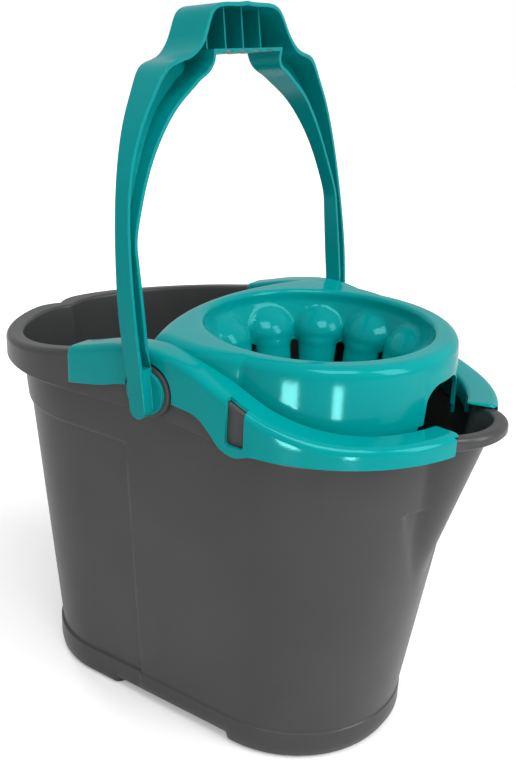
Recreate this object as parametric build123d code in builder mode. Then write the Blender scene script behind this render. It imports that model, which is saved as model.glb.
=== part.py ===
from build123d import *
import math
import os

os.makedirs("parts", exist_ok=True)

# Mop bucket with clip-on wringer and bail handle.  Millimetres, +Z up, +X towards the spout,
# origin on the floor under the middle of the bucket.

# ---------------------------------------------------------------- driving dimensions
WALL = 2.6                  # bucket wall
SKIN = 2.4                  # wringer and handle wall
GAP = 0.4                   # clearance of the wringer's clip round the rim

WALL_TOP = 255.0            # level at which the wall's upper sizes are given
SIDE_FOOT, SIDE_TOP = 76.0, 97.0         # half width of the wall at the floor and at its top
FRONT_FOOT, FRONT_TOP = 50.5, 65.5       # x of the middle of the round front, at both levels
REAR_FOOT, REAR_TOP = -81.5, -85.0       # x of the middle of the two rear lobes
LOBE_Y = 9.0                # the lobes stand this far to each side
RIM_LOBE_Y = 2.0
NOTCH_Y = 17.0              # half width of the notch between them
WALL_ROLL, RIM_ROLL = 24.0, 30.0         # radius of the notch's shoulders in the wall and the rim

LIP = 10.0                  # reach of the rolled rim past the wall
RIM_REAR = -82.5            # x of the middle of the rim's rear lobes
BLANK_TOP = 300.0           # everything is cut from blanks this tall
RIM_CREST = [(-219, 257), (-154, 259), (-109, 264.5), (-64, 272.5), (-29, 281.5), (3, 285.5),
             (28, 282), (56, 271), (84, 259.5), (116, 251.5), (151, 249.5), (206, 255)]
RIM_HEM = [(-219, 243), (-64, 244), (16, 244), (71, 238), (136, 238), (206, 248)]

FLOOR_TOP = 8.0
FOOT_DEPTH = 5.0
FOOT_ROUND = 5.0
FOOT_RING = 12.0            # width of the ring the bucket stands on
BRIDGE = (-56.0, 46.0)      # the foot ring is cut away between these x
BAND_TOP, BAND_STEP = 23.0, 0.8          # the band round the foot stands this much proud
LEDGE_REAR = 212.0          # stacking ledge, rear and front
LEDGE_FRONT = 194.0
RELIEF = 2.0                # how far the columns stand back under the ledge
COLUMN_X = -31.0            # the rear column ends here
NOSE_X = 146.0              # and the front one starts here

SPOUT_X, SPOUT_R = 150.0, 37.5
CHUTE_FOOT_Z, CHUTE_FOOT_X, CHUTE_FOOT_R = 112.0, 119.0, 19.0

PIVOT_X, PIVOT_Z = 3.0, 262.0
BOSS_R, BOSS_FACE = 16.6, 110.8
PIN_R, PIN_END = 4.0, 118.4
PIN_PLAY = 0.05

RING_X, RING_TOP = 55.0, 291.0
RING_R = 75.0               # opening of the wringer
COLLAR_X, COLLAR_FOOT_Z = 57.0, 241.0
COLLAR_SIDE = 90.7
COLLAR_REAR, COLLAR_BACK = -12.0, -33.0  # x of its rear corners and of its rear edge
COLLAR_DRAFT = 2.0
COLLAR_ROUND = 7.0
ARM_SKIN = 2.6
ARM_DEPTH = 17.5            # how far the arms reach in over the rim
CLIP_DEPTH = 14.9           # and the channel that takes the rim and the wall
ARM_REAR = -65.0
NOTCH_R = 18.0
SPOUT_GAP = 27.0            # half the gap between the two arm ends
ARCH_W, ARCH_TOP = 44.0, 273.0          # opening in the collar over the spout
WINDOW_X, WINDOW_W, WINDOW_H = 67.0, 13.0, 30.0

CUP_STRAIGHT = 8.0
CUP_FLOOR = 196.0
CUP_FLOOR_R = 43.0
LOBES = 12
DRAIN_R = 3.0
SLOT_W = 6.5

LEAN = 6.9                  # the handle stands this far back, degrees
LEG_HALF = 5.8              # half the depth of a leg
EAR_IN, EAR_OUT = 111.2, 121.0
EAR_R, EAR_DISC = 14.0, 2.4
EAR_FOOT = 14.5             # the leg's end reaches this far under the pin
BAIL_OUTER = [(121, 0), (122.5, 40), (121, 83), (117, 113), (110, 138), (98, 162), (88, 176), (77, 187),
              (62, 191.5), (51, 196), (45.5, 204), (42.5, 211.5), (36, 217.5), (20, 221), (0, 222)]
BAIL_INNER = [(112.4, 84), (107.6, 103), (97.6, 125), (82, 149), (69.6, 162), (52, 174), (40, 181), (35, 188)]
GRIP_FOOT = 192.0
GRIP_RIBS = (-29.0, -9.5, 9.5, 29.0)


# ---------------------------------------------------------------- shared plans and profiles
def arc_point(middle, radius, start, end):
    """The point halfway along an arc given by its two end points."""
    first = math.atan2(start.Y - middle.Y, start.X - middle.X) % (2 * math.pi)
    last = math.atan2(end.Y - middle.Y, end.X - middle.X) % (2 * math.pi)
    turn = (first + last) / 2
    return middle + Vector(math.cos(turn), math.sin(turn)) * radius


def plan(side, roll, rear_x, front_x, lobe_y=LOBE_Y):
    """Plan of the bucket: two rear lobes meeting in a notch, straight sides, round front."""
    lobe = Vector(rear_x, -lobe_y)
    radius = side - lobe_y
    shoulder = Vector(rear_x - math.sqrt((radius - roll)**2 - (NOTCH_Y - lobe_y)**2), -NOTCH_Y)
    notch = Vector(shoulder.X - math.sqrt(roll**2 - NOTCH_Y**2), 0)
    touch = shoulder + (shoulder - lobe).normalized() * roll
    flank, front = Vector(rear_x, -side), Vector(front_x, -side)
    with BuildSketch() as outline:
        with BuildLine():
            ThreePointArc(notch, arc_point(shoulder, roll, notch, touch), touch)
            ThreePointArc(touch, arc_point(lobe, radius, touch, flank), flank)
            Line(flank, front)
            ThreePointArc(front, (front_x + side * math.sqrt(0.5), -side * math.sqrt(0.5)), (front_x + side, 0))
            mirror(about=Plane.XZ)
        make_face()
    return outline.sketch


def lip_plan(inset=0.0):
    """Plan of the rim's outer face, without the spout."""
    return plan(SIDE_TOP + LIP - inset, max(RIM_ROLL - inset, NOTCH_Y + 1), RIM_REAR, FRONT_TOP, RIM_LOBE_Y)


def side_region(curve, rise, level):
    """Side view: the region between a curve raised by some amount and a level line."""
    points = [(x, z + rise) for x, z in curve]
    with BuildSketch(Plane.XZ) as region:
        with BuildLine():
            Spline(*points)
            Polyline(points[-1], (points[-1][0], level), (points[0][0], level), points[0])
        make_face()
    return region.sketch


# ---------------------------------------------------------------- bucket
def tub(inset, bottom, rounding=0.0):
    """The wall's solid: a front and a rear half, drawn tapered and each leaning out a little."""
    growth = (SIDE_TOP - SIDE_FOOT) / WALL_TOP
    sunk = 12.0
    side = SIDE_FOOT - inset - sunk * growth
    roll = WALL_ROLL - inset - sunk * growth
    with BuildPart() as body:
        for foot, top, rear_x, front_x in ((FRONT_FOOT, FRONT_TOP, -100, 0), (REAR_FOOT, REAR_TOP, 0, 100)):
            lean = math.atan2(top - foot, WALL_TOP)
            up = Vector(math.sin(lean), 0, math.cos(lean))
            with BuildPart(mode=Mode.PRIVATE) as half:
                with BuildSketch(Plane(Vector(foot, 0, 0) - up * sunk, x_dir=(up.Z, 0, -up.X), z_dir=up)):
                    add(plan(side, roll, rear_x, front_x))
                extrude(amount=BLANK_TOP + 2 * sunk, taper=-math.degrees(math.atan(growth)))
                split(bisect_by=Plane.XY.offset(bottom), keep=Keep.TOP)
                split(bisect_by=Plane.XY.offset(BLANK_TOP), keep=Keep.BOTTOM)
                if rounding:
                    fillet(half.edges().filter_by(lambda e: e.center().Z < bottom + 0.1), rounding)
            add(half.part)
    return body.part


def column_reliefs(inset):
    """What is taken off the wall under the stacking ledge, behind the pivots and at the nose."""
    low = BAND_TOP + inset
    core = tub(inset + RELIEF, 0)
    with BuildPart() as reliefs:
        with BuildSketch(Plane.XZ):
            with BuildLine():
                Polyline((-240, low), (COLUMN_X + inset, low), (COLUMN_X + inset, LEDGE_REAR + inset),
                         (-240, LEDGE_REAR + inset), (-240, low))
            make_face()
            with BuildLine():
                Polyline((NOSE_X - inset, low), (240, low), (240, LEDGE_FRONT + inset),
                         (NOSE_X - inset, LEDGE_FRONT + inset), (NOSE_X - inset, low))
            make_face()
        extrude(amount=150, both=True)
        add(core, mode=Mode.SUBTRACT)
    return reliefs.part


def chute(inset):
    """The hollow under the spout, a slanted cone from the lip down into the wall."""
    with BuildPart() as cone:
        with BuildSketch(Plane.XY.offset(CHUTE_FOOT_Z)):
            with Locations((CHUTE_FOOT_X, 0)):
                Circle(CHUTE_FOOT_R - inset)
        with BuildSketch(Plane.XY.offset(BLANK_TOP)):
            with Locations((SPOUT_X + 5, 0)):
                Circle(SPOUT_R - LIP + 12 - inset)
        loft(ruled=True)
    return cone.part


with BuildPart() as band:
    add(tub(-BAND_STEP, 0, FOOT_ROUND))
    split(bisect_by=Plane.XY.offset(BAND_TOP), keep=Keep.BOTTOM)

with BuildPart() as shell:
    add(tub(0, BAND_TOP - 8))
    add(band.part)
    add(column_reliefs(0), mode=Mode.SUBTRACT)
    add(chute(0))

with BuildPart() as cavity:
    add(tub(WALL, FLOOR_TOP, FOOT_ROUND - WALL))
    add(column_reliefs(WALL), mode=Mode.SUBTRACT)
    add(chute(WALL))

with BuildPart() as rim:
    with BuildSketch(Plane.XY.offset(225)):
        add(lip_plan())
        with Locations((SPOUT_X, 0)):
            Circle(SPOUT_R)
    extrude(amount=BLANK_TOP - 225)
    extrude(side_region(RIM_HEM, 0, 200), amount=150, both=True, mode=Mode.SUBTRACT)
    extrude(side_region(RIM_CREST, 0, 330), amount=150, both=True, mode=Mode.SUBTRACT)

with BuildPart() as rim_groove:
    with BuildSketch(Plane.XY.offset(225)):
        add(lip_plan(WALL))
        with Locations((SPOUT_X, 0)):
            Circle(SPOUT_R - WALL)
    extrude(amount=BLANK_TOP - 225)
    extrude(side_region(RIM_CREST, -WALL, 330), amount=150, both=True, mode=Mode.SUBTRACT)
    add(shell.part, mode=Mode.SUBTRACT)

with BuildPart() as bucket:
    add(shell.part)
    extrude(side_region(RIM_CREST, 0, 330), amount=150, both=True, mode=Mode.SUBTRACT)
    add(rim.part)
    add(rim_groove.part, mode=Mode.SUBTRACT)
    add(cavity.part, mode=Mode.SUBTRACT)
    for side in (1, -1):
        with BuildSketch(Plane((PIVOT_X, side * SIDE_TOP, PIVOT_Z), x_dir=(1, 0, 0), z_dir=(0, side, 0))):
            Circle(BOSS_R)
        extrude(amount=BOSS_FACE - SIDE_TOP)
        with BuildSketch(Plane((PIVOT_X, side * (BOSS_FACE - 1), PIVOT_Z), x_dir=(1, 0, 0), z_dir=(0, side, 0))):
            Circle(PIN_R)
        extrude(amount=PIN_END - BOSS_FACE + 1)
    with BuildSketch(Plane.XY):
        add(plan(SIDE_FOOT - FOOT_RING, WALL_ROLL, REAR_FOOT, FRONT_FOOT))
    extrude(amount=FOOT_DEPTH, mode=Mode.SUBTRACT)
    with BuildSketch(Plane.XZ):
        with Locations(((BRIDGE[0] + BRIDGE[1]) / 2, 0)):
            Rectangle(BRIDGE[1] - BRIDGE[0], 2 * FOOT_DEPTH)
    extrude(amount=150, both=True, mode=Mode.SUBTRACT)


# ---------------------------------------------------------------- wringer
def collar_solid(inset, top):
    """Collar, round at the front and drawn out to the pivots at the rear, shrunk by inset."""
    side = COLLAR_SIDE - inset
    sunk = 1.0 if inset else 0.0
    with BuildPart() as solid:
        with BuildSketch(Plane.XY.offset(COLLAR_FOOT_Z - sunk)):
            with BuildLine():
                Line((COLLAR_REAR + inset, -side), (COLLAR_X, -side))
                ThreePointArc((COLLAR_X, -side), (COLLAR_X + side, 0), (COLLAR_X, side))
                Line((COLLAR_X, side), (COLLAR_REAR + inset, side))
                ThreePointArc((COLLAR_REAR + inset, side), (COLLAR_BACK + inset, 0), (COLLAR_REAR + inset, -side))
            make_face()
        extrude(amount=top - COLLAR_FOOT_Z + sunk, taper=COLLAR_DRAFT)
        fillet(solid.edges().filter_by(lambda e: e.center().Z > top - 0.01), COLLAR_ROUND - inset)
    return solid.part


def cup_profile(extra):
    """Half section of the cup, grown outwards by extra."""
    with BuildSketch(Plane.XZ) as section:
        with BuildLine():
            Polyline((RING_X, CUP_FLOOR - extra), (RING_X + CUP_FLOOR_R + extra, CUP_FLOOR - extra),
                     (RING_X + RING_R + extra, RING_TOP - CUP_STRAIGHT),
                     (RING_X + RING_R + extra, RING_TOP + (1 if extra == 0 else -1)),
                     (RING_X, RING_TOP + (1 if extra == 0 else -1)), (RING_X, CUP_FLOOR - extra))
        make_face()
    return section.sketch


def cup_lobe(shrink):
    """One rounded rib of the cup: a tapered finger with a round head, leaning with the wall."""
    head, tail = Vector(RING_X + 78.5, 0, 269.5), Vector(RING_X + 47.3, 0, 188)
    head_r, tail_r = 17.0 - shrink, 8.6 - shrink
    axis = (head - tail).normalized()
    side = Vector(-axis.Z, 0, axis.X)
    with BuildPart() as lobe:
        with BuildSketch(Plane.XZ):
            with BuildLine():
                top = head + axis * head_r
                knee = head + side * head_r
                shoulder = head + (axis + side).normalized() * head_r
                heel = tail + side * tail_r
                ThreePointArc((top.X, top.Z), (shoulder.X, shoulder.Z), (knee.X, knee.Z))
                Polyline((knee.X, knee.Z), (heel.X, heel.Z), (tail.X, tail.Z), (top.X, top.Z))
            make_face()
        revolve(axis=Axis((head.X, 0, head.Z), (axis.X, 0, axis.Z)))
    return lobe.part


lobe_outer = cup_lobe(0)
lobe_inner = cup_lobe(SKIN)

with BuildPart() as cup_void:
    add(cup_profile(0))
    revolve(axis=Axis((RING_X, 0, 0), (0, 0, 1)))
    with Locations((RING_X, 0, 0)):
        with PolarLocations(0, LOBES):
            add(lobe_outer.moved(Location((-RING_X, 0, 0))), mode=Mode.SUBTRACT)

with BuildPart() as cup:
    add(cup_profile(SKIN))
    revolve(axis=Axis((RING_X, 0, 0), (0, 0, 1)))
    with Locations((RING_X, 0, 0)):
        with PolarLocations(0, LOBES):
            add(lobe_inner.moved(Location((-RING_X, 0, 0))), mode=Mode.SUBTRACT)

with BuildPart() as collar:
    add(collar_solid(0, RING_TOP))
    add(collar_solid(SKIN, RING_TOP - SKIN), mode=Mode.SUBTRACT)

with BuildPart() as arms:
    with BuildSketch(Plane.XY.offset(225)):
        add(lip_plan(-GAP - ARM_SKIN))
        add(lip_plan(ARM_DEPTH), mode=Mode.SUBTRACT)
    extrude(amount=BLANK_TOP - 225)
    extrude(side_region(RIM_CREST, GAP + ARM_SKIN, 330), amount=150, both=True, mode=Mode.SUBTRACT)
    with BuildSketch(Plane.XZ) as hem:
        with BuildLine():
            Polyline((-240, 330), (ARM_REAR, 330), (ARM_REAR, 251))
            Spline((ARM_REAR, 251), (-35, 256.5), (-16, 261.5))
            Polyline((-16, 261.5), (22, 257.5))
            Spline((22, 257.5), (42, 253), (50, 246), (56, 240), (66, 236.5), (78, 239.5), (92, 239.5))
            Polyline((92, 239.5), (240, 239.5), (240, 200), (-240, 200), (-240, 330))
        make_face()
    extrude(amount=150, both=True, mode=Mode.SUBTRACT)
    with BuildSketch(Plane.YZ.offset(96)):
        with Locations((0, 260)):
            Rectangle(2 * SPOUT_GAP, 100)
    extrude(amount=100, mode=Mode.SUBTRACT)

with BuildPart() as clip_channel:
    with BuildSketch(Plane.XY.offset(225)):
        add(lip_plan(-GAP))
        with Locations((SPOUT_X, 0)):
            Circle(SPOUT_R + GAP)
        add(lip_plan(CLIP_DEPTH), mode=Mode.SUBTRACT)
    extrude(amount=BLANK_TOP - 225)
    extrude(side_region(RIM_CREST, GAP, 330), amount=150, both=True, mode=Mode.SUBTRACT)

with BuildPart() as wringer:
    add(collar.part)
    add(arms.part)
    add(clip_channel.part, mode=Mode.SUBTRACT)
    add(cup.part)
    add(cup_void.part, mode=Mode.SUBTRACT)
    for side in (95, -125):
        with BuildSketch(Plane.XZ.offset(side)):
            with Locations((PIVOT_X, PIVOT_Z)):
                Circle(NOTCH_R)
            with Locations((PIVOT_X, PIVOT_Z - 15)):
                Rectangle(2 * NOTCH_R, 30)
        extrude(amount=30, mode=Mode.SUBTRACT)
    for side in (101, -125):
        with BuildSketch(Plane.XZ.offset(side)):
            with Locations((WINDOW_X, 258)):
                RectangleRounded(WINDOW_W, WINDOW_H, 2)
        extrude(amount=24, mode=Mode.SUBTRACT)
    with BuildSketch(Plane.YZ.offset(131)):
        with Locations((0, ARCH_TOP - 50)):
            RectangleRounded(ARCH_W, 100, 14)
        with Locations((0, 235)):
            Rectangle(2 * SPOUT_GAP, 28)
    extrude(amount=60, mode=Mode.SUBTRACT)
    for ring, count, start in ((0, 1, 0), (16, 6, 0), (32, 12, 15)):
        with BuildSketch(Plane.XY.offset(CUP_FLOOR - 5)):
            with Locations((RING_X, 0)):
                with PolarLocations(ring, count, start):
                    Circle(DRAIN_R)
        extrude(amount=6, mode=Mode.SUBTRACT)
    for turn in range(LOBES):
        angle = 360 / LOBES * (turn + 0.5)
        with BuildSketch(Plane((RING_X, 0, 0), x_dir=(-math.sin(math.radians(angle)), math.cos(math.radians(angle)), 0),
                               z_dir=(math.cos(math.radians(angle)), math.sin(math.radians(angle)), 0))):
            with Locations((0, 226)):
                SlotOverall(62, SLOT_W, rotation=90)
        extrude(amount=80, mode=Mode.SUBTRACT)


# ---------------------------------------------------------------- handle
HANDLE_FACE = Plane((PIVOT_X, 0, PIVOT_Z), x_dir=(0, 1, 0),
                    z_dir=(math.cos(math.radians(LEAN)), 0, math.sin(math.radians(LEAN))))
HANDLE_SIDE = Plane((PIVOT_X, 0, PIVOT_Z), x_dir=HANDLE_FACE.z_dir, z_dir=(0, -1, 0))


def stood_off(points, tangents, distance):
    """Points of a smooth curve through points, moved to its left by distance."""
    curve = Spline(*points, tangents=tangents)
    steps = [i / 16 for i in range(17)]
    return [curve @ t + Vector(-(curve % t).Y, (curve % t).X) * distance for t in steps]


def bail_outer(curve):
    """Outline of the handle's outside, seen square on."""
    with BuildSketch() as outline:
        with BuildLine():
            Spline(*curve)
            Polyline(curve[-1], (0, -EAR_FOOT), (curve[0].X, -EAR_FOOT), curve[0])
        make_face()
        mirror(about=Plane.YZ)
    return outline.sketch


def bail_inner(curve, top):
    """Outline of the opening under the handle, seen square on."""
    with BuildSketch() as outline:
        with BuildLine():
            Spline(*curve)
            Polyline(curve[-1], (curve[-1].X, top), (0, top), (0, -EAR_FOOT - 1), (EAR_IN, -EAR_FOOT - 1),
                     (EAR_IN, EAR_R), (curve[0].X, 2 * EAR_R), curve[0])
        make_face()
        mirror(about=Plane.YZ)
    return outline.sketch


def bail_side(trim):
    """Outline of the handle seen from the side: slim legs with round ends and a broad grip."""
    half = LEG_HALF - trim
    with BuildSketch() as outline:
        with BuildLine():
            Spline((half, 40), (half, 140), (8.5 - trim, 168), (11 - trim, 184), (14 - trim, 198),
                   tangents=[(0, 1), (0.05, 1)])
            Polyline((14 - trim, 198), (14 - trim, 230), (0, 230), (0, half - EAR_FOOT), (half, half - EAR_FOOT),
                     (half, 40))
        make_face()
        mirror(about=Plane.YZ)
        with Locations((0, half - EAR_FOOT)):
            Circle(half)
    return outline.sketch


bail_outside = stood_off(BAIL_OUTER, [(0, 1), (-1, 0)], 0)
bail_inside = stood_off(BAIL_INNER, [(0, 1), (0, 1)], 0)
channel_outer = stood_off(BAIL_OUTER, [(0, 1), (-1, 0)], SKIN)
channel_inner = stood_off(BAIL_INNER, [(0, 1), (0, 1)], -SKIN)

with BuildPart() as handle:
    with BuildSketch(HANDLE_FACE):
        add(bail_outer(bail_outside))
        add(bail_inner(bail_inside, GRIP_FOOT), mode=Mode.SUBTRACT)
    extrude(amount=20, both=True)
    with BuildSketch(HANDLE_SIDE):
        add(bail_side(0))
    extrude(amount=150, both=True, mode=Mode.INTERSECT)
    with BuildPart(mode=Mode.PRIVATE) as hollow:
        with BuildSketch(HANDLE_FACE):
            add(bail_outer(channel_outer))
            add(bail_inner(channel_inner, GRIP_FOOT + SKIN), mode=Mode.SUBTRACT)
        extrude(amount=20, both=True)
        with BuildSketch(HANDLE_SIDE):
            add(bail_side(SKIN))
            with Locations((10, 123)):
                Rectangle(20, 214)
            Rectangle(60, 2 * EAR_R + 4, mode=Mode.SUBTRACT)
        extrude(amount=150, both=True, mode=Mode.INTERSECT)
        for rib in GRIP_RIBS:
            with BuildSketch(HANDLE_FACE.offset(-15)):
                with Locations((rib, 205)):
                    Rectangle(1.6, 40)
            extrude(amount=17, mode=Mode.SUBTRACT)
    add(hollow.part, mode=Mode.SUBTRACT)
    with BuildSketch(HANDLE_FACE):
        for finger in (-22, -7.3, 7.3, 22):
            with Locations((finger, 188.5)):
                Ellipse(7.5, 5)
    extrude(amount=20, both=True, mode=Mode.SUBTRACT)
    for side in (1, -1):
        with BuildSketch(Plane((PIVOT_X, side * EAR_IN, PIVOT_Z), x_dir=(1, 0, 0), z_dir=(0, side, 0))):
            Circle(EAR_R)
        extrude(amount=EAR_DISC)
        with BuildSketch(Plane((PIVOT_X, side * (EAR_IN - 1), PIVOT_Z), x_dir=(1, 0, 0), z_dir=(0, side, 0))):
            Circle(PIN_R + PIN_PLAY)
        extrude(amount=PIN_END + 0.3 - EAR_IN + 1, mode=Mode.SUBTRACT)

bucket.part.label = "bucket"
export_step(bucket.part, "parts/bucket.step")
wringer.part.label = "wringer"
export_step(wringer.part, "parts/wringer.step")
handle.part.label = "handle"
export_step(handle.part, "parts/handle.step")
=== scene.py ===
"""Mop bucket with a clip-on wringer and a bail handle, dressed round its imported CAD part."""
import math

import bmesh
import bpy
import numpy as np
from mathutils import Matrix, Vector


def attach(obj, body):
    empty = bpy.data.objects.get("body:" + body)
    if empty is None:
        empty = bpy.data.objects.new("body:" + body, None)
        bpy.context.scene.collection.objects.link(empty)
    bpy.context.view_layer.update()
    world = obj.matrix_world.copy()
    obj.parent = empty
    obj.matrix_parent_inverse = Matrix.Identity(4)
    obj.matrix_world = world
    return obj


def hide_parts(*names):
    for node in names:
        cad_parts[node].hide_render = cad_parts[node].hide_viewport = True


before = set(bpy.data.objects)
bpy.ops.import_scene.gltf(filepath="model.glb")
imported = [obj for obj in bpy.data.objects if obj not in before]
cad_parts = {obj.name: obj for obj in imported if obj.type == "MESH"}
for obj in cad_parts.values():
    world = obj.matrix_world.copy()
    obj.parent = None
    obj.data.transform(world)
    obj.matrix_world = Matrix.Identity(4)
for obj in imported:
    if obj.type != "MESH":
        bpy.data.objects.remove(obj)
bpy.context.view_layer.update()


# ---------------------------------------------------------------- moulded plastics
REFRACTION, REFLECTION = 1.49, 0.32
CYAN_GLINT = (0.3, 1, 1)


def node(tree, kind, x, y):
    """One shader node at a place in the tree."""
    made = tree.nodes.new(kind)
    made.location = (x, y)
    return made


def moulded_plastic(name, shade, deep, gloss, grain, glint=(1, 1, 1), edge=0.0):
    """Injection-moulded polypropylene: faint flow marks in the colour, fine grain and rubbed gloss."""
    mat = bpy.data.materials.new(name)
    mat.use_nodes = True
    tree = mat.node_tree
    tree.nodes.clear()
    out = node(tree, "ShaderNodeOutputMaterial", 900, 0)
    skin = node(tree, "ShaderNodeBsdfPrincipled", 600, 0)
    skin.inputs["IOR"].default_value = REFRACTION
    skin.inputs["Specular IOR Level"].default_value = REFLECTION
    skin.inputs["Specular Tint"].default_value = (*glint, 1)
    place = node(tree, "ShaderNodeTexCoord", -900, 0)
    flow = node(tree, "ShaderNodeTexNoise", -650, 150)
    flow.inputs["Scale"].default_value = 9.0
    flow.inputs["Detail"].default_value = 3.0
    flow.inputs["Distortion"].default_value = 1.2
    tint = node(tree, "ShaderNodeValToRGB", -400, 150)
    tint.color_ramp.elements[0].position = 0.3
    tint.color_ramp.elements[0].color = (*deep, 1)
    tint.color_ramp.elements[1].position = 0.7
    tint.color_ramp.elements[1].color = (*shade, 1)
    rub = node(tree, "ShaderNodeTexNoise", -650, -150)
    rub.inputs["Scale"].default_value = 46.0
    rub.inputs["Detail"].default_value = 5.0
    sheen = node(tree, "ShaderNodeMapRange", -400, -150)
    sheen.inputs["To Min"].default_value = gloss - 0.05
    sheen.inputs["To Max"].default_value = gloss + 0.07
    peel = node(tree, "ShaderNodeTexNoise", -650, -400)
    peel.inputs["Scale"].default_value = 900.0
    peel.inputs["Detail"].default_value = 2.0
    bump = node(tree, "ShaderNodeBump", -100, -400)
    bump.inputs["Strength"].default_value = grain
    bump.inputs["Distance"].default_value = 0.0002
    link = tree.links.new
    if edge:
        worn = node(tree, "ShaderNodeBevel", -400, -550)
        worn.samples = 6
        worn.inputs["Radius"].default_value = edge
        link(worn.outputs["Normal"], bump.inputs["Normal"])
    for texture in (flow, rub, peel):
        link(place.outputs["Object"], texture.inputs["Vector"])
    link(flow.outputs["Fac"], tint.inputs["Fac"])
    link(tint.outputs["Color"], skin.inputs["Base Color"])
    link(rub.outputs["Fac"], sheen.inputs["Value"])
    link(sheen.outputs["Result"], skin.inputs["Roughness"])
    link(peel.outputs["Fac"], bump.inputs["Height"])
    link(bump.outputs["Normal"], skin.inputs["Normal"])
    link(skin.outputs["BSDF"], out.inputs["Surface"])
    return mat


grey = moulded_plastic("bucket_grey", shade=(0.064, 0.064, 0.064), deep=(0.055, 0.055, 0.056),
                       gloss=0.30, grain=0.25)
turquoise = moulded_plastic("wringer_turquoise", shade=(0.0, 0.31, 0.31), deep=(0.0, 0.275, 0.28),
                            gloss=0.11, grain=0.08, glint=CYAN_GLINT)
turquoise_bail = moulded_plastic("handle_turquoise", shade=(0.0, 0.285, 0.29), deep=(0.0, 0.25, 0.255),
                                 gloss=0.22, grain=0.15, glint=CYAN_GLINT, edge=0.0012)

for name, finish in (("bucket", grey), ("wringer", turquoise), ("handle", turquoise_bail)):
    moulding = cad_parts[name]
    moulding.data.materials.clear()
    moulding.data.materials.append(finish)


# ---------------------------------------------------------------- curves and closed shells
MM = 0.001
SHARPEST = math.radians(38)
WELD = 2e-6


def smooth_through(points, at):
    """Height of a smooth curve through a few points, at any positions along it."""
    along = np.array([p[0] for p in points], float)
    height = np.array([p[1] for p in points], float)
    slope = np.gradient(height, along)
    at = np.clip(at, along[0], along[-1])
    i = np.clip(np.searchsorted(along, at) - 1, 0, len(along) - 2)
    span = along[i + 1] - along[i]
    t = (at - along[i]) / span
    return ((2 * t**3 - 3 * t**2 + 1) * height[i] + (t**3 - 2 * t**2 + t) * span * slope[i]
            + (3 * t**2 - 2 * t**3) * height[i + 1] + (t**3 - t**2) * span * slope[i + 1])


def soft_min(a, b, blend):
    """The smaller of two distances, with a soft fillet where they cross."""
    near = np.clip(0.5 + 0.5 * (b - a) / blend, 0, 1)
    return b + (a - b) * near - blend * near * (1 - near)


def arc(x, y, radius, start, end, steps=40):
    """Points of an arc, by its middle, its radius and two angles in degrees."""
    turn = np.radians(np.linspace(start, end, steps))
    return np.column_stack([x + radius * np.cos(turn), y + radius * np.sin(turn)])


def polar(outline, middle_x, angles):
    """Distance of a closed outline from a middle, in each direction."""
    turn = np.arctan2(outline[:, 1], outline[:, 0] - middle_x)
    reach = np.hypot(outline[:, 0] - middle_x, outline[:, 1])
    order = np.argsort(turn)
    return np.interp(angles, turn[order], reach[order], period=2 * np.pi)


def quarter(steps):
    """Sine and 1 - cosine over a quarter turn: the run and the fall of a rounded edge."""
    turn = np.linspace(0, math.pi / 2, steps)
    return zip(np.sin(turn), 1 - np.cos(turn))


def outward(data):
    """Merges doubled points and turns every face outwards."""
    bm = bmesh.new()
    bm.from_mesh(data)
    bmesh.ops.remove_doubles(bm, verts=bm.verts, dist=WELD)
    bmesh.ops.recalc_face_normals(bm, faces=bm.faces)
    for face in bm.faces:
        face.smooth = True
    bm.to_mesh(data)
    bm.free()
    return data


def finished(name, data, body, finish):
    """Turns mesh data into a piece that rides on a body, with outward normals and smooth shading."""
    outward(data)
    data.set_sharp_from_angle(angle=SHARPEST)
    data.materials.clear()
    data.materials.append(finish)
    for face in data.polygons:
        face.material_index = 0
    data.name = name
    piece = bpy.data.objects.new(name, data)
    bpy.context.scene.collection.objects.link(piece)
    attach(piece, body)
    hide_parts(body)
    return piece


def shell_of_rings(rings):
    """A closed skin through rings of points, in millimetres; the first and last shrink to a point."""
    count = len(rings[0])
    first, last = np.mean(rings[0], axis=0), np.mean(rings[-1], axis=0)
    points = np.vstack([[first], *rings[1:-1], [last]]) * MM
    faces = []
    for k in range(count):
        after = (k + 1) % count
        faces.append((0, 1 + after, 1 + k))
        for row in range(len(rings) - 3):
            low, high = 1 + row * count, 1 + (row + 1) * count
            faces.append((low + k, low + after, high + after, high + k))
        low = 1 + (len(rings) - 3) * count
        faces.append((low + k, low + after, len(points) - 1))
    data = bpy.data.meshes.new("shell")
    data.from_pydata(points.tolist(), [], faces)
    return data


def tube_of_sections(sections):
    """A closed bar through a list of closed sections of points, in millimetres, with both ends capped."""
    count = len(sections[0])
    points = np.vstack(sections) * MM
    faces = [tuple(range(count))[::-1], tuple(range(len(points) - count, len(points)))]
    for row in range(len(sections) - 1):
        for k in range(count):
            after = (k + 1) % count
            low, high = row * count, (row + 1) * count
            faces.append((low + k, low + after, high + after, high + k))
    data = bpy.data.meshes.new("bar")
    data.from_pydata(points.tolist(), [], faces)
    return data


def as_mesh(thing):
    """An object's shape after its modifiers, as plain mesh data."""
    bpy.context.view_layer.update()
    return bpy.data.meshes.new_from_object(thing.evaluated_get(bpy.context.evaluated_depsgraph_get()))


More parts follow.
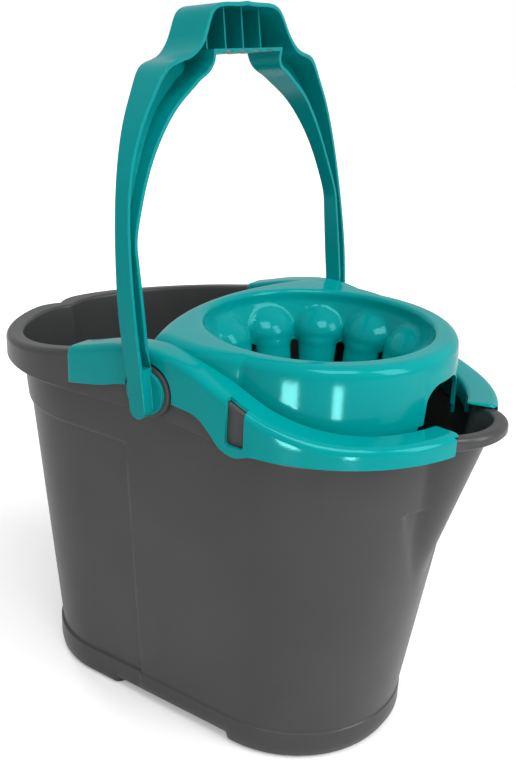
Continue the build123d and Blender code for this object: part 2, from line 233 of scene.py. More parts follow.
# ---------------------------------------------------------------- the wringer's cup and collar
RING_X, RING_R, RING_TOP = 55.0, 75.0, 291.0
SKIN = 2.4
CUP_FLOOR, CUP_FLOOR_R, CUP_STRAIGHT = 196.0, 43.0, 8.0
LOBES = 12
HEAD_LEVEL, HEAD_TALL, HEAD_WIDE, HEAD_OUT = 265.0, 16.5, 22.5, 11.5
HEAD_BLEND, NECK_BLEND = 1.2, 5.0
COLLAR_X, COLLAR_FOOT, COLLAR_SIDE = 57.0, 241.0, 90.7
COLLAR_REAR, COLLAR_BACK, COLLAR_DRAFT = -12.0, -33.0, 2.0
COLLAR_ROUND, RING_ROUND = 7.0, 3.0
ARCH_HALF, ARCH_TOP, ARCH_ROUND = 22.0, 273.0, 14.0
SPOUT_GAP, GAP_TOP = 27.0, 249.0
ROUND_THE_RING = np.radians(np.arange(384) * 360 / 384)


def cup_wall(level):
    """Radius of the cup's inside in each direction at one level: a cone with rounded lobes in it."""
    cone_top = RING_TOP - CUP_STRAIGHT
    rise = np.clip((level - CUP_FLOOR) / (cone_top - CUP_FLOOR), 0, 1)
    cone = CUP_FLOOR_R + (RING_R - CUP_FLOOR_R) * rise
    off = (ROUND_THE_RING + math.pi / LOBES) % (2 * math.pi / LOBES) - math.pi / LOBES

    def bulge(middle, half):
        inside = np.clip(half**2 - (middle * np.sin(off))**2, 0, None)
        return middle * np.cos(off) - np.sqrt(inside)

    wall = np.full_like(off, cone)
    fade = np.clip((268 - level) / 10, 0, 1)
    column_half = (11.0 + 5.5 * np.clip((level - 190) / 70, 0, 1)) * math.sqrt(fade)
    if column_half > 1:
        wall = soft_min(wall, bulge(cone + 6.5 + 4 * (1 - fade), column_half), 2.0)
    height = (level - HEAD_LEVEL) / HEAD_TALL
    if abs(height) < 1:
        blend = HEAD_BLEND if height > -0.1 else NECK_BLEND
        wall = soft_min(wall, bulge(cone + HEAD_OUT, HEAD_WIDE * math.sqrt(1 - height**2)), blend)
    return wall


def collar_plan(inset):
    """Distance of the collar's outside from the ring's middle in each direction, drawn in by an inset."""
    side = COLLAR_SIDE - inset
    depth = COLLAR_REAR - COLLAR_BACK
    back_r = (side**2 + depth**2) / (2 * depth)
    back_x = COLLAR_BACK + inset + back_r
    half = math.degrees(math.asin(side / back_r))
    outline = np.vstack([arc(COLLAR_X, 0, side, -90, 90, 120),
                         arc(back_x, 0, back_r, 180 - half, 180 + half, 60)])
    return polar(outline, RING_X, ROUND_THE_RING)


def collar_hem(across):
    """Level of the collar's lower edge: straight, with an arch over the spout."""
    y = np.abs(across)
    past_flat = np.clip(y - ARCH_HALF + ARCH_ROUND, 0, None)
    arch = ARCH_TOP - ARCH_ROUND + np.sqrt(np.clip(ARCH_ROUND**2 - past_flat**2, 0, None))
    return np.where(y < ARCH_HALF + 0.4, arch, np.where(y < SPOUT_GAP + 0.4, GAP_TOP, COLLAR_FOOT))


def ring_at(radius, level):
    """One ring of points round the ring's middle."""
    return np.column_stack([RING_X + radius * np.cos(ROUND_THE_RING), radius * np.sin(ROUND_THE_RING),
                            np.broadcast_to(level, ROUND_THE_RING.shape)])


def cup_and_collar():
    """The cup's inside, the rounded ring, the deck, the collar and the cup's back, as one closed skin."""
    front = np.cos(ROUND_THE_RING) > 0
    draft = math.tan(math.radians(COLLAR_DRAFT))
    rings = [ring_at(0 * ROUND_THE_RING, CUP_FLOOR)]
    for share in (0.25, 0.5, 0.75, 0.9):
        rings.append(ring_at(cup_wall(CUP_FLOOR) * share, CUP_FLOOR))
    for run, fall in quarter(4):
        rings.append(ring_at(cup_wall(CUP_FLOOR + 3 * fall) - 3 + 3 * run, CUP_FLOOR + 3 * fall))
    levels = np.linspace(CUP_FLOOR + 4.5, RING_TOP - RING_ROUND, 44)
    rings += [ring_at(cup_wall(level), level) for level in levels]
    for run, fall in list(quarter(6))[::-1][1:]:
        rings.append(ring_at(cup_wall(RING_TOP) + RING_ROUND * (1 - run), RING_TOP - RING_ROUND * fall))
    top_inset = COLLAR_ROUND + draft * (RING_TOP - COLLAR_FOOT)
    edge = collar_plan(top_inset)
    for share in (0.2, 0.45, 0.7, 0.88, 1.0):
        rings.append(ring_at((RING_R + RING_ROUND) * (1 - share) + edge * share, RING_TOP))
    for run, fall in list(quarter(8))[1:]:
        level = RING_TOP - COLLAR_ROUND * fall
        rings.append(ring_at(collar_plan(top_inset - COLLAR_ROUND * run), level))
    hem = np.where(front, collar_hem(collar_plan(0) * np.sin(ROUND_THE_RING)), COLLAR_FOOT)
    top = RING_TOP - COLLAR_ROUND

    def wall_rows(thickness, shares):
        for share in shares:
            level = top * (1 - share) + hem * share
            upper = collar_plan(draft * (top - COLLAR_FOOT) + thickness)
            rings.append(ring_at(collar_plan(thickness) * share + upper * (1 - share), level))

    wall_rows(0, (0.12, 0.3, 0.5, 0.7, 0.88, 0.985))
    wall_rows(0.5, (1.0,))
    wall_rows(SKIN - 0.5, (1.0,))
    wall_rows(SKIN, (0.985, 0.88, 0.7, 0.5, 0.3, 0.12, 0.0))
    for run, fall in list(quarter(5))[::-1][1:]:
        level = RING_TOP - SKIN - (COLLAR_ROUND - SKIN) * fall
        rings.append(ring_at(collar_plan(top_inset - (COLLAR_ROUND - SKIN) * run), level))
    for share in (0.8, 0.5, 0.2, 0.0):
        rings.append(ring_at((RING_R + SKIN + 0.6) * (1 - share) + edge * share, RING_TOP - SKIN))
    for level in np.linspace(RING_TOP - SKIN - 1.5, CUP_FLOOR - SKIN + 3, 44):
        rings.append(ring_at(cup_wall(level) + SKIN, level))
    for share in (0.97, 0.7, 0.35):
        rings.append(ring_at((cup_wall(CUP_FLOOR) + SKIN) * share, CUP_FLOOR - SKIN))
    rings.append(ring_at(0 * ROUND_THE_RING, CUP_FLOOR - SKIN))
    return shell_of_rings(rings)


# ---------------------------------------------------------------- slots and drain holes, by a rule
class Tree:
    """A Geometry Nodes tree with named inputs, built node by node."""

    def __init__(self, name):
        self.group = bpy.data.node_groups.new(name, "GeometryNodeTree")
        self.group.interface.new_socket("Geometry", in_out="INPUT", socket_type="NodeSocketGeometry")
        self.group.interface.new_socket("Geometry", in_out="OUTPUT", socket_type="NodeSocketGeometry")
        self.start = self.group.nodes.new("NodeGroupInput")
        self.end = self.group.nodes.new("NodeGroupOutput")

    def size(self, name, kind="Float"):
        """Adds a named input and returns its socket."""
        self.group.interface.new_socket(name, in_out="INPUT", socket_type="NodeSocket" + kind)
        return self.start.outputs[name]

    def add(self, kind, settings=None, **wires):
        """One node: settings are its own options, wires are sockets by name with spaces written as _."""
        made = self.group.nodes.new(kind)
        for key, value in (settings or {}).items():
            setattr(made, key, value)
        for key, value in wires.items():
            index = int(key[1:]) if key[0] == "i" and key[1:].isdigit() else key.replace("_", " ")
            for one in value if isinstance(value, list) else [value]:
                if isinstance(one, bpy.types.NodeSocket):
                    self.group.links.new(one, made.inputs[index])
                else:
                    made.inputs[index].default_value = one
        return made

    def run(self, data, sizes):
        """Runs the tree on mesh data and returns the result as plain mesh data."""
        carrier = bpy.data.objects.new("carrier", data)
        bpy.context.scene.collection.objects.link(carrier)
        modifier = carrier.modifiers.new("rule", "NODES")
        modifier.node_group = self.group
        sockets = self.group.interface.items_tree
        keys = {item.name: item.identifier for item in sockets if item.in_out == "INPUT"}
        for name, value in sizes.items():
            modifier[keys[name]] = value
        carrier.update_tag()
        plain = as_mesh(carrier)
        carrier.modifiers.remove(modifier)
        bpy.data.objects.remove(carrier)
        return plain


def drained(data, finish):
    """Cuts a tall slot between each pair of lobes and rings of drain holes in the floor."""
    tree = Tree("drain_pattern")
    lobes, width, height = tree.size("Lobes", "Int"), tree.size("Slot Width"), tree.size("Slot Height")
    slot_level, middle = tree.size("Slot Level"), tree.size("Middle", "Vector")
    hole, floor_level = tree.size("Hole Radius"), tree.size("Floor Level")
    finish_in = tree.size("Finish", "Material")
    # one slot: a rectangle with round ends, swept outwards from the middle
    outline = tree.add("GeometryNodeCurvePrimitiveQuadrilateral", Width=width, Height=height)
    rounding = tree.add("ShaderNodeMath", {"operation": "MULTIPLY"}, i0=width, i1=0.499)
    ends = tree.add("GeometryNodeFilletCurve", {"mode": "POLY"}, Curve=outline.outputs[0],
                    Radius=rounding.outputs[0])
    ends.inputs["Count"].default_value = 5
    run = tree.add("GeometryNodeCurvePrimitiveLine")
    run.inputs["Start"].default_value = (0.025, 0, 0)
    run.inputs["End"].default_value = (0.083, 0, 0)
    slot = tree.add("GeometryNodeCurveToMesh", Curve=run.outputs[0], Profile_Curve=ends.outputs[0],
                    Fill_Caps=True)
    # turned to each gap
    gaps = tree.add("GeometryNodeMeshCircle", Vertices=lobes, Radius=0.01)
    step = tree.add("ShaderNodeMath", {"operation": "DIVIDE"}, i0=math.pi, i1=lobes)
    turn = tree.add("ShaderNodeCombineXYZ", Z=step.outputs[0])
    lift = tree.add("ShaderNodeCombineXYZ", Z=slot_level)
    half_step = tree.add("GeometryNodeTransform", Geometry=gaps.outputs[0],
                         Rotation=turn.outputs[0])
    facing = tree.add("FunctionNodeAlignRotationToVector", {"axis": "X"},
                      Vector=tree.add("GeometryNodeInputPosition").outputs[0])
    at_middle = tree.add("GeometryNodeInstanceOnPoints", Points=half_step.outputs[0],
                         Instance=slot.outputs[0], Rotation=facing.outputs[0])
    inward = tree.add("ShaderNodeVectorMath", {"operation": "SCALE"},
                      i0=tree.add("GeometryNodeInputPosition").outputs[0])
    inward.inputs["Scale"].default_value = -1.0
    pulled = tree.add("GeometryNodeSetPosition", Geometry=at_middle.outputs[0], Offset=inward.outputs[0])
    slots = tree.add("GeometryNodeTransform", Geometry=pulled.outputs[0], Translation=lift.outputs[0])
    # drain holes: one in the middle and two rings
    drill = tree.add("GeometryNodeMeshCylinder", Vertices=20, Radius=hole, Depth=0.012)
    rings = []
    for count, radius, angle in ((6, 0.016, 0.0), (12, 0.032, math.radians(15))):
        ring = tree.add("GeometryNodeMeshCircle", Vertices=count, Radius=radius)
        turned_ring = tree.add("GeometryNodeTransform", Geometry=ring.outputs[0], Rotation=(0, 0, angle))
        rings.append(turned_ring.outputs[0])
    centre = tree.add("GeometryNodePoints", Count=1)
    spots = tree.add("GeometryNodeJoinGeometry", Geometry=[rings[0], rings[1]])
    drills = tree.add("GeometryNodeInstanceOnPoints", Points=spots.outputs[0], Instance=drill.outputs[0])
    one = tree.add("GeometryNodeInstanceOnPoints", Points=centre.outputs[0], Instance=drill.outputs[0])
    down = tree.add("ShaderNodeCombineXYZ", Z=floor_level)
    all_drills = tree.add("GeometryNodeJoinGeometry", Geometry=[drills.outputs[0], one.outputs[0]])
    holes = tree.add("GeometryNodeTransform", Geometry=all_drills.outputs[0], Translation=down.outputs[0])
    cutters = tree.add("GeometryNodeJoinGeometry", Geometry=[slots.outputs[0], holes.outputs[0]])
    placed = tree.add("GeometryNodeTransform", Geometry=cutters.outputs[0], Translation=middle)
    solid = tree.add("GeometryNodeRealizeInstances", Geometry=placed.outputs[0])
    cut = tree.add("GeometryNodeMeshBoolean", {"operation": "DIFFERENCE", "solver": "MANIFOLD"},
                   Mesh_1=tree.start.outputs["Geometry"], Mesh_2=solid.outputs[0])
    real = tree.add("GeometryNodeRealizeInstances", Geometry=cut.outputs[0])
    painted = tree.add("GeometryNodeSetMaterial", Geometry=real.outputs[0], Material=finish_in)
    tree.group.links.new(painted.outputs[0], tree.end.inputs[0])
    return tree.run(data, {"Lobes": LOBES, "Slot Width": 0.0065, "Slot Height": 0.062, "Slot Level": 0.226,
                           "Middle": (RING_X * MM, 0, 0), "Hole Radius": 0.003,
                           "Floor Level": (CUP_FLOOR - SKIN / 2) * MM, "Finish": finish})


# ---------------------------------------------------------------- the wringer's arms
RIM_CREST = [(-219, 257), (-154, 259), (-109, 264.5), (-64, 272.5), (-29, 281.5), (3, 285.5),
             (28, 282), (56, 271), (84, 259.5), (116, 251.5), (151, 249.5), (206, 255)]
ARM_HEM = [(-65, 251), (-35, 256.5), (-16, 261.5), (3, 259.5), (22, 257.5), (42, 253), (50, 246), (56, 240),
           (66, 236.5), (78, 239.5), (92, 239.5), (200, 239.5)]
ARM_SIDE, ARM_WIDTH, ARM_SKIN = 110.0, 20.5, 2.6
ARM_REAR, ARM_BEND = -65.0, 65.5
ARM_RISE = 3.0
ARM_ROUND, ARM_INNER_ROUND, ARM_END_ROUND = 5.0, 3.0, 3.0
PIVOT_X, PIVOT_Z, NOTCH_R = 3.0, 262.0, 18.0
WINDOW = (67.0, 104.5, 258.0, 13.0, 30.0)
WINDOW_DEPTH, WINDOW_ROUND = 24.0, 2.5
SPOUT_CLEAR = (150.0, 37.9, 251.7)
SPOUT_DEPTH = 60.0


def arm_path():
    """Stations along one arm's outer face, from rear to spout: place, inward direction and end inset."""
    last = -math.asin(SPOUT_GAP / ARM_SIDE)
    straight = ARM_BEND - ARM_REAR
    length = straight + ARM_SIDE * (math.pi / 2 + last)
    ease = [ARM_END_ROUND * (1 - math.cos(t)) for t in np.linspace(0, math.pi / 2, 6)]
    notch = [PIVOT_X - ARM_REAR + side * (NOTCH_R + step) for side in (-1, 1) for step in (-0.05, 0.05)]
    plain = np.linspace(ARM_END_ROUND, length - ARM_END_ROUND, 250)
    for s in sorted([*ease, *notch, *plain, *[length - e for e in ease]]):
        near_end = min(s, length - s)
        inset = 0.0
        if near_end < ARM_END_ROUND:
            inset = ARM_END_ROUND - math.sqrt(max(0.0, ARM_END_ROUND**2 - (ARM_END_ROUND - near_end)**2))
        if s < straight:
            yield np.array([ARM_REAR + s, -ARM_SIDE]), np.array([0.0, 1.0]), inset
        else:
            turn = -math.pi / 2 + (s - straight) / ARM_SIDE
            out = np.array([math.cos(turn), math.sin(turn)])
            yield np.array([ARM_BEND, 0.0]) + ARM_SIDE * out, -out, inset


def arm_section(place, inward, inset):
    """The clip's section at one station: outer leg, rounded top, inner leg, the rim's channel."""
    depths, levels = [], []

    def level_at(depth, curve):
        return smooth_through(curve, (place + inward * depth)[0])

    def put(depth, level):
        depths.append(depth)
        levels.append(level)

    top_out = level_at(0, RIM_CREST) + ARM_RISE - inset
    hem = level_at(0, ARM_HEM)
    beside = abs(place[0] - PIVOT_X)
    if beside < NOTCH_R and place[1] < 0:
        hem = max(hem, PIVOT_Z + math.sqrt(NOTCH_R**2 - beside**2))
    hem = min(hem, top_out - ARM_ROUND - 0.5)
    first, last = inset, ARM_WIDTH - inset
    put(first + 0.5, hem)
    put(first, hem + 0.5)
    for share in (0.25, 0.5, 0.75):
        put(first, (hem + 0.5) * (1 - share) + (top_out - ARM_ROUND) * share)
    for run, fall in list(quarter(9))[::-1]:
        depth = first + ARM_ROUND * (1 - run)
        put(depth, level_at(depth, RIM_CREST) + ARM_RISE - inset - ARM_ROUND * fall)
    for run, fall in quarter(6):
        depth = last - ARM_INNER_ROUND * (1 - run)
        put(depth, level_at(depth, RIM_CREST) + ARM_RISE - inset - ARM_INNER_ROUND * fall)
    inner_hem = level_at(ARM_WIDTH, ARM_HEM)
    put(last, inner_hem + 0.5)
    put(last - 0.5, inner_hem)
    put(ARM_WIDTH - ARM_SKIN, inner_hem)
    for depth in (ARM_WIDTH - ARM_SKIN, ARM_SKIN):
        put(depth, level_at(depth, RIM_CREST) + ARM_RISE - ARM_SKIN)
    put(ARM_SKIN, hem)
    flat = place + np.outer(depths, inward)
    return np.column_stack([flat, levels])


def arm_cutter(side):
    """The block that cuts an arm's little window and the round clearance for the spout."""
    x, y, z, width, height = WINDOW
    cutter = bmesh.new()
    bmesh.ops.create_cube(cutter, size=1)
    bmesh.ops.scale(cutter, vec=(width * MM, WINDOW_DEPTH * MM, height * MM), verts=cutter.verts)
    along_y = [e for e in cutter.edges if abs(e.verts[0].co.y - e.verts[1].co.y) > 0.01]
    bmesh.ops.bevel(cutter, geom=along_y, offset=WINDOW_ROUND * MM, segments=5, profile=0.5, affect="EDGES")
    middle = (x * MM, side * (y + WINDOW_DEPTH / 2) * MM, z * MM)
    bmesh.ops.translate(cutter, vec=middle, verts=cutter.verts)
    x, radius, top = SPOUT_CLEAR
    well = bmesh.ops.create_cone(cutter, cap_ends=True, segments=96, radius1=radius * MM,
                                 radius2=radius * MM, depth=SPOUT_DEPTH * MM)
    bmesh.ops.translate(cutter, vec=(x * MM, 0, (top - SPOUT_DEPTH / 2) * MM), verts=well["verts"])
    bmesh.ops.recalc_face_normals(cutter, faces=cutter.faces)
    block = bpy.data.meshes.new("window")
    cutter.to_mesh(block)
    cutter.free()
    return block


def cut_by(data, block):
    """Mesh data with a block cut out of it."""
    whole, tool = bpy.data.objects.new("whole", data), bpy.data.objects.new("tool", block)
    for thing in (whole, tool):
        bpy.context.scene.collection.objects.link(thing)
    cut = whole.modifiers.new("window", "BOOLEAN")
    cut.object = tool
    cut.solver = "MANIFOLD"
    plain = as_mesh(whole)
    bpy.data.objects.remove(whole)
    bpy.data.objects.remove(tool)
    return plain


def arm(name, side):
    """One arm of the clip, with the pivot's notch in its hem and the window cut through its outer leg."""
    data = tube_of_sections([arm_section(*station) for station in arm_path()])
    points = np.array([v.co for v in data.vertices])
    points[:, 1] *= -side
    data.vertices.foreach_set("co", points.ravel())
    return finished(name, cut_by(outward(data), arm_cutter(side)), "wringer", turquoise)


finished("cup_and_collar", drained(outward(cup_and_collar()), turquoise), "wringer", turquoise)
arm("arm_right", -1)
arm("arm_left", 1)


# ---------------------------------------------------------------- the bucket
WALL, WALL_TOP = 2.6, 255.0
SIDE_FOOT, SIDE_TOP = 76.0, 97.0
FRONT_FOOT, FRONT_TOP = 50.5, 65.5
REAR_FOOT, REAR_TOP = -81.5, -85.0
LOBE_Y, RIM_LOBE_Y, NOTCH_Y = 9.0, 2.0, 17.0
WALL_ROLL, RIM_ROLL = 24.0, 30.0
LIP, RIM_REAR = 10.0, -82.5
RIM_HEM = [(-219, 243), (-64, 244), (16, 244), (71, 238), (136, 238), (206, 248)]
RIM_ROUND, RIM_INNER_ROUND = 4.0, 2.5
FLOOR_TOP, FOOT_DEPTH, FOOT_ROUND, FOOT_RING = 8.0, 5.0, 5.0, 12.0
BRIDGE = (-56.0, 46.0)
BAND_TOP, BAND_STEP = 23.0, 0.8
LEDGE_REAR, LEDGE_FRONT, RELIEF = 212.0, 194.0, 2.0
COLUMN_X, NOSE_X = -31.0, 146.0
SPOUT_X, SPOUT_R = 150.0, 37.5
CHUTE_FOOT, CHUTE_HEAD, CHUTE_LEVELS = (119.0, 19.0), (155.0, 39.5), (112.0, 300.0)
BOSS_R, BOSS_FACE, PIN_R, PIN_END = 16.6, 110.8, 4.0, 118.4
MIDDLE_X = -10.0
UPPER_WALL = 226.0
ROUND_THE_BUCKET = np.radians(np.arange(480) * 360 / 480)


def tub_plan(side, roll, rear_x, front_x, lobe_y):
    """Outline of the bucket from above: two rear lobes with a notch, straight sides, a round front."""
    radius = side - lobe_y
    shoulder_x = rear_x - math.sqrt((radius - roll)**2 - (NOTCH_Y - lobe_y)**2)
    to_notch = math.degrees(math.atan2(NOTCH_Y, -math.sqrt(roll**2 - NOTCH_Y**2)))
    to_touch = math.degrees(math.atan2(lobe_y - NOTCH_Y, shoulder_x - rear_x)) % 360
    half = np.vstack([arc(shoulder_x, -NOTCH_Y, roll, to_notch, to_touch, 30),
                      arc(rear_x, -lobe_y, radius, to_touch, 270, 50),
                      np.column_stack([np.linspace(rear_x, front_x, 60)[1:-1], np.full(58, -side)]),
                      arc(front_x, 0, side, -90, 0, 80)])
    return np.vstack([half, half[::-1] * (1, -1)])


def soft_max(a, b, blend):
    """The larger of two distances, with a soft fillet where they cross."""
    return -soft_min(-a, -b, blend)


def step(value, start, width):
    """Rises smoothly from 0 to 1 as a value passes a place."""
    t = np.clip((value - start) / width + 0.5, 0, 1)
    return t * t * (3 - 2 * t)


def disc_reach(x, radius):
    """Distance from the bucket's middle to the far side of a round form, in each direction."""
    away = x - MIDDLE_X
    inside = np.clip(radius**2 - (away * np.sin(ROUND_THE_BUCKET))**2, 0, None)
    return np.where(np.cos(ROUND_THE_BUCKET) > 0, away * np.cos(ROUND_THE_BUCKET) + np.sqrt(inside), 0)


def wall_reach(level, inset):
    """Distance of the wall's face from the bucket's middle at a level, drawn in by an inset."""
    level = np.broadcast_to(np.asarray(level, float), ROUND_THE_BUCKET.shape)
    foot_roll = max(WALL_ROLL - inset, NOTCH_Y + 1)
    foot = polar(tub_plan(SIDE_FOOT - inset, foot_roll, REAR_FOOT, FRONT_FOOT, LOBE_Y), MIDDLE_X,
                 ROUND_THE_BUCKET)
    roll = WALL_ROLL + SIDE_TOP - SIDE_FOOT - inset
    head = polar(tub_plan(SIDE_TOP - inset, roll, REAR_TOP, FRONT_TOP, LOBE_Y), MIDDLE_X, ROUND_THE_BUCKET)
    reach = foot + (head - foot) * level / WALL_TOP
    along = MIDDLE_X + reach * np.cos(ROUND_THE_BUCKET)
    above_band = step(level, BAND_TOP + max(inset, 0), 1.2)
    rear = step(-along, -COLUMN_X, 3.0) * (1 - step(level, LEDGE_REAR + max(inset, 0), 1.6))
    nose = step(along, NOSE_X, 3.0) * (1 - step(level, LEDGE_FRONT + max(inset, 0), 1.6))
    reach = reach - RELIEF * above_band * np.maximum(rear, nose)
    rise = (level - CHUTE_LEVELS[0]) / (CHUTE_LEVELS[1] - CHUTE_LEVELS[0])
    chute = disc_reach(CHUTE_FOOT[0] + (CHUTE_HEAD[0] - CHUTE_FOOT[0]) * rise,
                       np.clip(CHUTE_FOOT[1] + (CHUTE_HEAD[1] - CHUTE_FOOT[1]) * rise - inset, 1, None))
    return np.where(rise > 0, soft_max(reach, chute, 2.5), reach)


def lip_reach(inset):
    """Distance of the rolled rim's face from the bucket's middle, with the spout, drawn in by an inset."""
    roll = max(RIM_ROLL - inset, NOTCH_Y + 1)
    lip = polar(tub_plan(SIDE_TOP + LIP - inset, roll, RIM_REAR, FRONT_TOP, RIM_LOBE_Y), MIDDLE_X,
                ROUND_THE_BUCKET)
    return soft_max(lip, disc_reach(SPOUT_X, SPOUT_R - inset), 2.5)


def bucket_ring(reach, level):
    """One ring of points round the bucket's middle."""
    return np.column_stack([MIDDLE_X + reach * np.cos(ROUND_THE_BUCKET), reach * np.sin(ROUND_THE_BUCKET),
                            np.broadcast_to(level, ROUND_THE_BUCKET.shape)])


def over(curve, reach):
    """Level of a side curve above each point of a ring."""
    return smooth_through(curve, MIDDLE_X + reach * np.cos(ROUND_THE_BUCKET))


def tub():
    """Foot, wall, rolled rim, inner wall and floor of the bucket, as one closed skin."""
    foot_in = wall_reach(0, FOOT_RING)
    along = MIDDLE_X + wall_reach(0, 0) * np.cos(ROUND_THE_BUCKET)
    sole = FOOT_DEPTH * step(along, BRIDGE[0], 2.5) * (1 - step(along, BRIDGE[1], 2.5))
    rings = [bucket_ring(foot_in * share, FOOT_DEPTH) for share in (0, 0.35, 0.7, 0.95, 1)]
    rings.append(bucket_ring(foot_in, np.minimum(sole + 0.6, FOOT_DEPTH)))
    rings += [bucket_ring(wall_reach(0, inset), sole) for inset in (FOOT_RING - 0.6, FOOT_ROUND)]
    for run, fall in list(quarter(6))[1:]:
        rings.append(bucket_ring(wall_reach(FOOT_ROUND * fall, FOOT_ROUND * (1 - run) - BAND_STEP),
                                 sole + FOOT_ROUND * fall))
    for share in (0.25, 0.6, 0.9, 1.0):
        rings.append(bucket_ring(wall_reach(BAND_TOP, -BAND_STEP),
                                 (sole + FOOT_ROUND) * (1 - share) + (BAND_TOP - 0.6) * share))
    rings.append(bucket_ring(wall_reach(BAND_TOP, -BAND_STEP / 2), BAND_TOP - 0.1))
    levels = np.concatenate([[BAND_TOP + 0.4, BAND_TOP + 1.2, BAND_TOP + 3], np.linspace(32, 186, 18),
                             np.linspace(190, 218, 26), [222, UPPER_WALL]])
    rings += [bucket_ring(wall_reach(level, 0), level) for level in levels]

    def crest_over(reach):
        return over(RIM_CREST, reach)

    outer_wall = wall_reach(WALL_TOP, 0)
    roof = crest_over(outer_wall) - WALL
    for share in (0.2, 0.45, 0.7, 0.88, 1.0):
        level = UPPER_WALL * (1 - share) + roof * share
        rings.append(bucket_ring(wall_reach(level, 0), level))
    skirt_in = lip_reach(WALL)
    rings.append(bucket_ring(skirt_in, crest_over(skirt_in) - WALL))
    for share in (0.15, 0.5, 0.85):
        level = (crest_over(skirt_in) - WALL) * (1 - share) + over(RIM_HEM, skirt_in) * share
        rings.append(bucket_ring(skirt_in, level))
    for inset, rise in ((WALL, 0.8), (WALL - 0.8, 0.0), (0.8, 0.0), (0.0, 0.8)):
        reach = lip_reach(inset)
        rings.append(bucket_ring(reach, over(RIM_HEM, reach) + rise))
    skirt = lip_reach(0)
    for share in (0.15, 0.4, 0.7, 0.9):
        rings.append(bucket_ring(skirt, (over(RIM_HEM, skirt) + 0.8) * (1 - share)
                                 + (crest_over(skirt) - RIM_ROUND) * share))
    for run, fall in list(quarter(9))[::-1]:
        reach = lip_reach(RIM_ROUND * (1 - run))
        rings.append(bucket_ring(reach, crest_over(reach) - RIM_ROUND * fall))
    inner_wall = wall_reach(crest_over(outer_wall), WALL)
    edge = lip_reach(RIM_ROUND)
    for share in (0.33, 0.67):
        reach = edge * (1 - share) + (inner_wall + RIM_INNER_ROUND) * share
        rings.append(bucket_ring(reach, crest_over(reach)))
    for run, fall in quarter(6):
        reach = inner_wall + RIM_INNER_ROUND * (1 - run)
        rings.append(bucket_ring(reach, crest_over(reach) - RIM_INNER_ROUND * fall))
    for share in (0.88, 0.6, 0.3, 0.0):
        level = UPPER_WALL * (1 - share) + (crest_over(inner_wall) - RIM_INNER_ROUND) * share
        rings.append(bucket_ring(wall_reach(level, WALL), level))
    rings += [bucket_ring(wall_reach(level, WALL), level) for level in levels[::-1][1:-3]]
    for level in (26.5, 25.5, 24.0, 20.0, 15.0):
        rings.append(bucket_ring(wall_reach(level, WALL), level))
    for run, fall in list(quarter(5))[::-1]:
        rings.append(bucket_ring(wall_reach(FLOOR_TOP, WALL + 4 * (1 - run)), FLOOR_TOP + 4 * fall))
    floor_edge = wall_reach(FLOOR_TOP, WALL + 4)
    rings += [bucket_ring(floor_edge * share, FLOOR_TOP) for share in (0.8, 0.5, 0.25, 0)]
    return shell_of_rings(rings)


def turned(profile, side, segments=72):
    """A round boss or pin turned about the pivot axis, from (radius, distance from the middle) pairs."""
    angles = np.radians(np.arange(segments) * 360 / segments)
    return shell_of_rings([np.column_stack([PIVOT_X + radius * np.cos(angles), np.full(segments, side * out),
                                            PIVOT_Z + radius * np.sin(angles)]) for radius, out in profile])


def joined(meshes):
    """Several closed skins as one mesh."""
    bm = bmesh.new()
    for data in meshes:
        bm.from_mesh(data)
    data = bpy.data.meshes.new("joined")
    bm.to_mesh(data)
    bm.free()
    return data


def bucket():
    """The tub with its two pivot bosses and pins."""
    boss = [(0, SIDE_TOP - 1), (BOSS_R, SIDE_TOP - 1), (BOSS_R, SIDE_TOP + 4)]
    boss += [(BOSS_R, BOSS_FACE - 1.2), (BOSS_R - 0.35, BOSS_FACE - 0.35), (BOSS_R - 1.2, BOSS_FACE),
             (BOSS_R - 3.2, BOSS_FACE), (PIN_R, BOSS_FACE), (0, BOSS_FACE)]
    pin = [(0, BOSS_FACE - 1), (PIN_R, BOSS_FACE - 1), (PIN_R, PIN_END - 0.8), (PIN_R - 0.8, PIN_END),
           (0, PIN_END)]
    parts = [outward(tub())]
    for side in (-1, 1):
        parts += [outward(turned(boss, side)), outward(turned(pin, side))]
    return finished("bucket_moulding", joined(parts), "bucket", grey)


bucket()


# ---------------------------------------------------------------- floor, light and camera
AMBIENT = 0.5
FLOOR_LIFT, LIFT_FROM = (0.3, 0.8), (0.4, 1.6)
CAMERA_AT = (0.3663, -0.5403, 0.4853)
CAMERA_TURN, CAMERA_DIP, CAMERA_ROLL = 33.44, 20.85, 2.42
SENSOR, LENS = 24, 31.56
# name, place, aim, size, power
LAMPS = (("key_light", (0.9, -0.7, 2.1), (0, 0, 0.2), (1.0, 1.0), 24),
         ("side_light", (1.6, 0.1, 1.1), (0, 0, 0.25), (0.6, 1.4), 16))
REAR_LAMP = ("rear_light", (-1.5, 0.6, 0.9), (0, 0, 0.2), (0.5, 1.2), 10)
GLINTS = (("window_left", (0.154, -0.526, 0.13), (0.088, -0.084, 0.27), (0.11, 0.1), 0.9),
          ("window_right", (0.424, -0.367, 0.13), (0.113, -0.07, 0.267), (0.06, 0.1), 0.5))


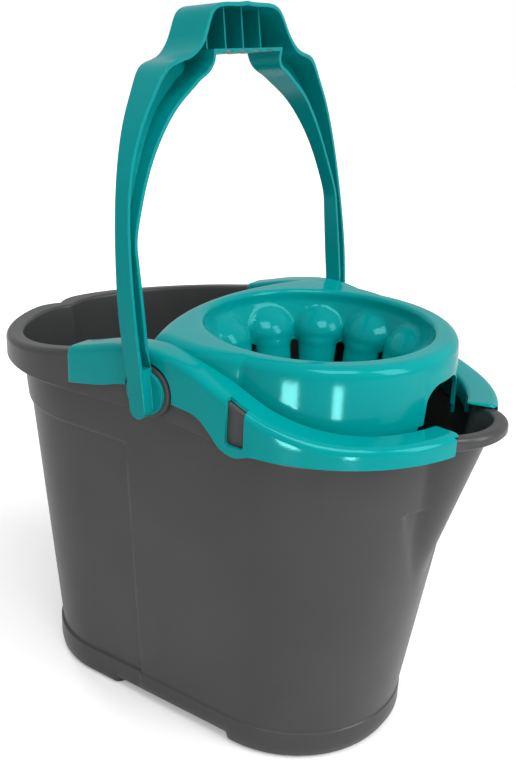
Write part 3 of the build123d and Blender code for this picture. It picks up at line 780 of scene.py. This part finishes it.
def studio_floor():
    """A wide pale floor, brighter to the camera alone and more so far out, to meet the white backdrop."""
    mesh = bpy.data.meshes.new("studio_floor")
    mesh.from_pydata([(-6, -6, 0), (6, -6, 0), (6, 6, 0), (-6, 6, 0)], [], [(0, 1, 2, 3)])
    floor = bpy.data.objects.new("studio_floor", mesh)
    bpy.context.scene.collection.objects.link(floor)
    mat = bpy.data.materials.new("studio_white")
    mat.use_nodes = True
    tree = mat.node_tree
    paint = tree.nodes["Principled BSDF"]
    paint.inputs["Base Color"].default_value = (0.8, 0.8, 0.8, 1)
    paint.inputs["Roughness"].default_value = 1.0
    paint.inputs["Specular IOR Level"].default_value = 0.0
    paint.inputs["Emission Color"].default_value = (1, 1, 1, 1)
    seen = tree.nodes.new("ShaderNodeLightPath")
    lift = tree.nodes.new("ShaderNodeMath")
    lift.operation = "MULTIPLY"
    place = tree.nodes.new("ShaderNodeTexCoord")
    away = tree.nodes.new("ShaderNodeVectorMath")
    away.operation = "LENGTH"
    far = tree.nodes.new("ShaderNodeMapRange")
    far.inputs["From Min"].default_value = LIFT_FROM[0]
    far.inputs["From Max"].default_value = LIFT_FROM[1]
    far.inputs["To Min"].default_value = FLOOR_LIFT[0]
    far.inputs["To Max"].default_value = FLOOR_LIFT[1]
    tree.links.new(place.outputs["Object"], away.inputs[0])
    tree.links.new(away.outputs["Value"], far.inputs["Value"])
    tree.links.new(far.outputs["Result"], lift.inputs[1])
    tree.links.new(seen.outputs["Is Camera Ray"], lift.inputs[0])
    tree.links.new(lift.outputs[0], paint.inputs["Emission Strength"])
    mesh.materials.append(mat)


def softbox(name, place, aim, size, power):
    """A rectangular studio lamp."""
    lamp = bpy.data.lights.new(name, "AREA")
    lamp.shape = "RECTANGLE"
    lamp.size, lamp.size_y = size
    lamp.energy = power
    thing = bpy.data.objects.new(name, lamp)
    thing.location = place
    thing.rotation_euler = (Vector(aim) - Vector(place)).to_track_quat("-Z", "Y").to_euler()
    bpy.context.scene.collection.objects.link(thing)
    return thing


def camera():
    """A camera in front of the spout's right-hand side, looking down, with a little roll."""
    turn, dip, roll = (math.radians(angle) for angle in (CAMERA_TURN, CAMERA_DIP, CAMERA_ROLL))
    ahead = Vector((-math.sin(turn) * math.cos(dip), math.cos(turn) * math.cos(dip), -math.sin(dip)))
    level = Vector((math.cos(turn), math.sin(turn), 0))
    top = level.cross(ahead)
    right = level * math.cos(roll) + top * math.sin(roll)
    up = top * math.cos(roll) - level * math.sin(roll)
    lens = bpy.data.cameras.new("camera")
    lens.sensor_fit = "VERTICAL"
    lens.sensor_height = SENSOR
    lens.lens = LENS
    thing = bpy.data.objects.new("camera", lens)
    thing.matrix_world = Matrix.Translation(CAMERA_AT) @ Matrix((
        (right.x, up.x, -ahead.x), (right.y, up.y, -ahead.y), (right.z, up.z, -ahead.z))).to_4x4()
    bpy.context.scene.collection.objects.link(thing)
    bpy.context.scene.camera = thing


def studio_world():
    """Even light from all round, with a backdrop that is white to the camera."""
    world = bpy.data.worlds.new("studio")
    world.use_nodes = True
    tree = world.node_tree
    around = tree.nodes["Background"]
    around.inputs["Color"].default_value = (1, 1, 1, 1)
    around.inputs["Strength"].default_value = AMBIENT
    white = tree.nodes.new("ShaderNodeBackground")
    white.inputs["Color"].default_value = (1, 1, 1, 1)
    white.inputs["Strength"].default_value = 1.0
    seen = tree.nodes.new("ShaderNodeLightPath")
    either = tree.nodes.new("ShaderNodeMixShader")
    tree.links.new(seen.outputs["Is Camera Ray"], either.inputs["Fac"])
    tree.links.new(around.outputs[0], either.inputs[1])
    tree.links.new(white.outputs[0], either.inputs[2])
    tree.links.new(either.outputs[0], tree.nodes["World Output"].inputs["Surface"])
    bpy.context.scene.world = world


studio_floor()
camera()
studio_world()
for lamp in LAMPS:
    softbox(*lamp)
rear_light = softbox(*REAR_LAMP)
# its reflection would burn the deck white at low viewing angles
rear_light.visible_glossy = False
for lamp in GLINTS:
    # each puts a highlight on the collar and adds no diffuse light
    glint = softbox(*lamp)
    glint.visible_camera = False
    glint.visible_diffuse = False
bpy.context.scene.view_settings.view_transform = "Standard"
